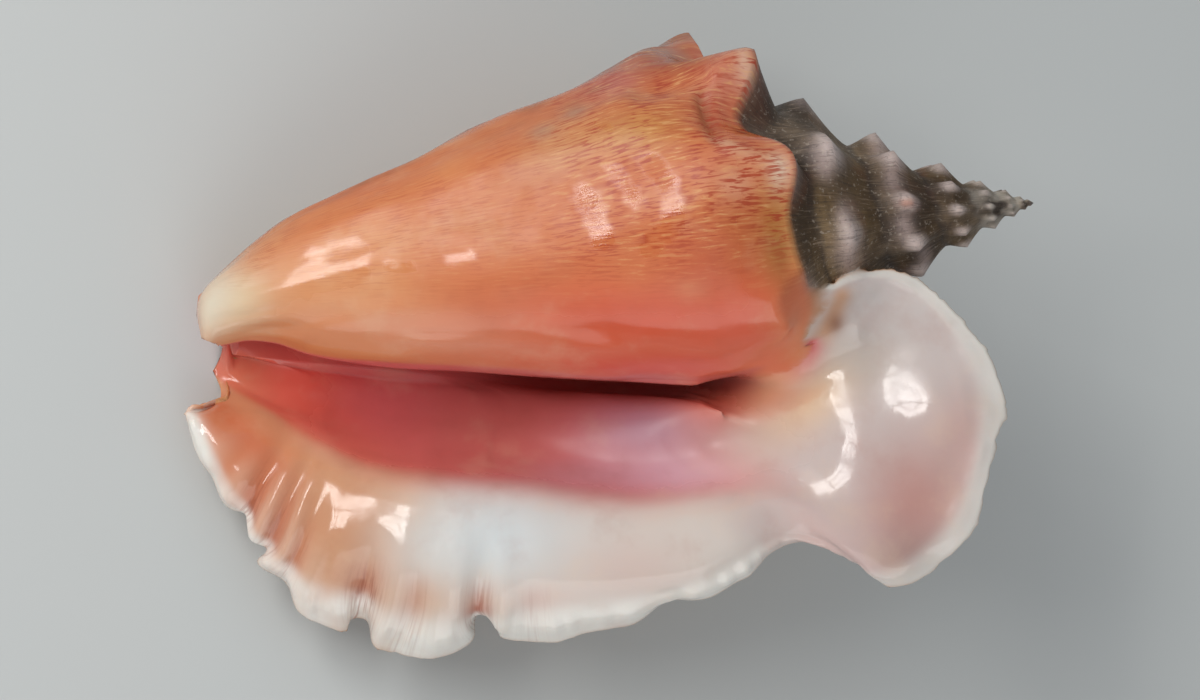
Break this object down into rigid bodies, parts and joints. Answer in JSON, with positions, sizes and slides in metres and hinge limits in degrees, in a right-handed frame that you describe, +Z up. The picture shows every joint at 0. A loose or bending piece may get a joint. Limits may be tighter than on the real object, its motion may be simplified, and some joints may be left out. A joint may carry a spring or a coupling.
{
  "type": "conch shell",
  "caption": "Large conch shell with a knobbed spire, a smooth body whorl and a wide flared lip round its open mouth, lying on its back.",
  "frame": {"origin": "on the surface it rests on, under the middle of its outline", "axes": "+Z up, +X towards the point of the spire, -Y towards the flared lip"},
  "size_m": [0.2122, 0.1569, 0.1028],
  "materials": {
    "shell": "glossy porcelain enamel round the mouth, satin mottled outer skin"
  },
  "bodies": {
    "root": {"shell": "shell"}
  },
  "joints": []
}
